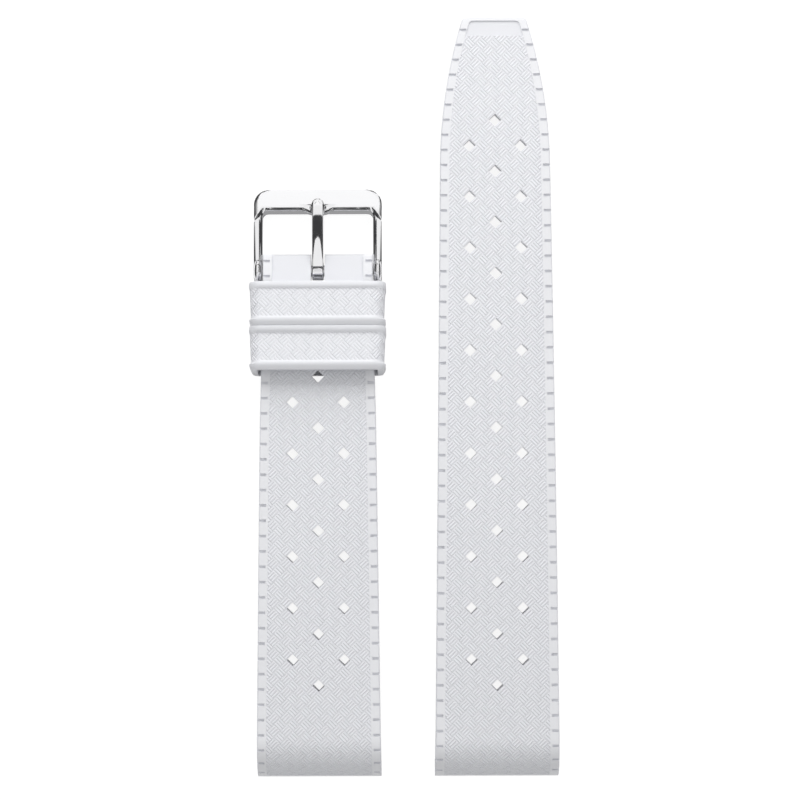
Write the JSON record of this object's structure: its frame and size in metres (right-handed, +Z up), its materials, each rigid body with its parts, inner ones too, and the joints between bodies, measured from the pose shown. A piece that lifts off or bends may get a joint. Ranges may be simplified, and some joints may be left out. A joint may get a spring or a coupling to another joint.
{
  "type": "silicone watch strap",
  "caption": "Two-piece perforated rubber watch strap with a pin buckle on a spring bar and two sliding keeper loops, laid face up.",
  "frame": {"origin": "centre of the bounding box, on the table that the two halves lie on", "axes": "+Y along the strap from the lug ends to the buckle and the tip, +X to the right of the buckle half towards the tail half, +Z up from the table out of the patterned face"},
  "size_m": [0.0496, 0.1226, 0.0091],
  "materials": {
    "strap_rubber": "soft matt white silicone with a moulded weave",
    "keeper_rubber": "soft matt white silicone with a moulded weave and beaded rims",
    "polished_steel": "mirror polished stainless steel",
    "spring_bar_steel": "turned bright steel",
    "spring_wire": "drawn steel wire"
  },
  "bodies": {
    "buckle_half": {"buckle_strap": "strap_rubber", "spring_bar_tube": "spring_bar_steel", "spring_bar_coil": "spring_wire"},
    "frame": {"buckle_frame": "polished_steel"},
    "tongue": {"tongue": "polished_steel"},
    "upper_keeper": {"upper_keeper": "keeper_rubber"},
    "lower_keeper": {"lower_keeper": "keeper_rubber"},
    "left_plunger": {"left_plunger": "spring_bar_steel"},
    "right_plunger": {"right_plunger": "spring_bar_steel"},
    "tail_half": {"tail_strap": "strap_rubber"}
  },
  "joints": [
    {"name": "buckle_swing", "type": "hinge", "parent": "buckle_half", "child": "frame", "pos_m": [-0.0138, 0.02035, 0.003], "axis": [1, 0, 0], "range_deg": [-90, 65]},
    {"name": "tongue_swing", "type": "hinge", "parent": "frame", "child": "tongue", "pos_m": [-0.0138, 0.02035, 0.003], "axis": [1, 0, 0], "range_deg": [0, 70]},
    {"name": "upper_keeper_slide", "type": "slide", "parent": "buckle_half", "child": "upper_keeper", "axis": [0, -0.9995, 0.0314], "range_m": [0, 0.012]},
    {"name": "lower_keeper_slide", "type": "slide", "parent": "upper_keeper", "child": "lower_keeper", "axis": [0, -0.9995, 0.0314], "range_m": [0, 0.01]},
    {"name": "left_plunger_press", "type": "slide", "parent": "buckle_half", "child": "left_plunger", "axis": [1, 0, 0], "range_m": [0, 0.0011], "stiffness_N_per_m": 1500, "springref_m": -0.0005, "deforming": ["spring_bar_coil"]},
    {"name": "right_plunger_press", "type": "slide", "parent": "buckle_half", "child": "right_plunger", "axis": [-1, 0, 0], "range_m": [0, 0.0011], "stiffness_N_per_m": 1500, "springref_m": -0.0005, "deforming": ["spring_bar_coil"]},
    {"name": "tail_half_lift", "type": "slide", "parent": "buckle_half", "child": "tail_half", "axis": [0, 0, 1], "range_m": [0, 0.02]}
  ]
}
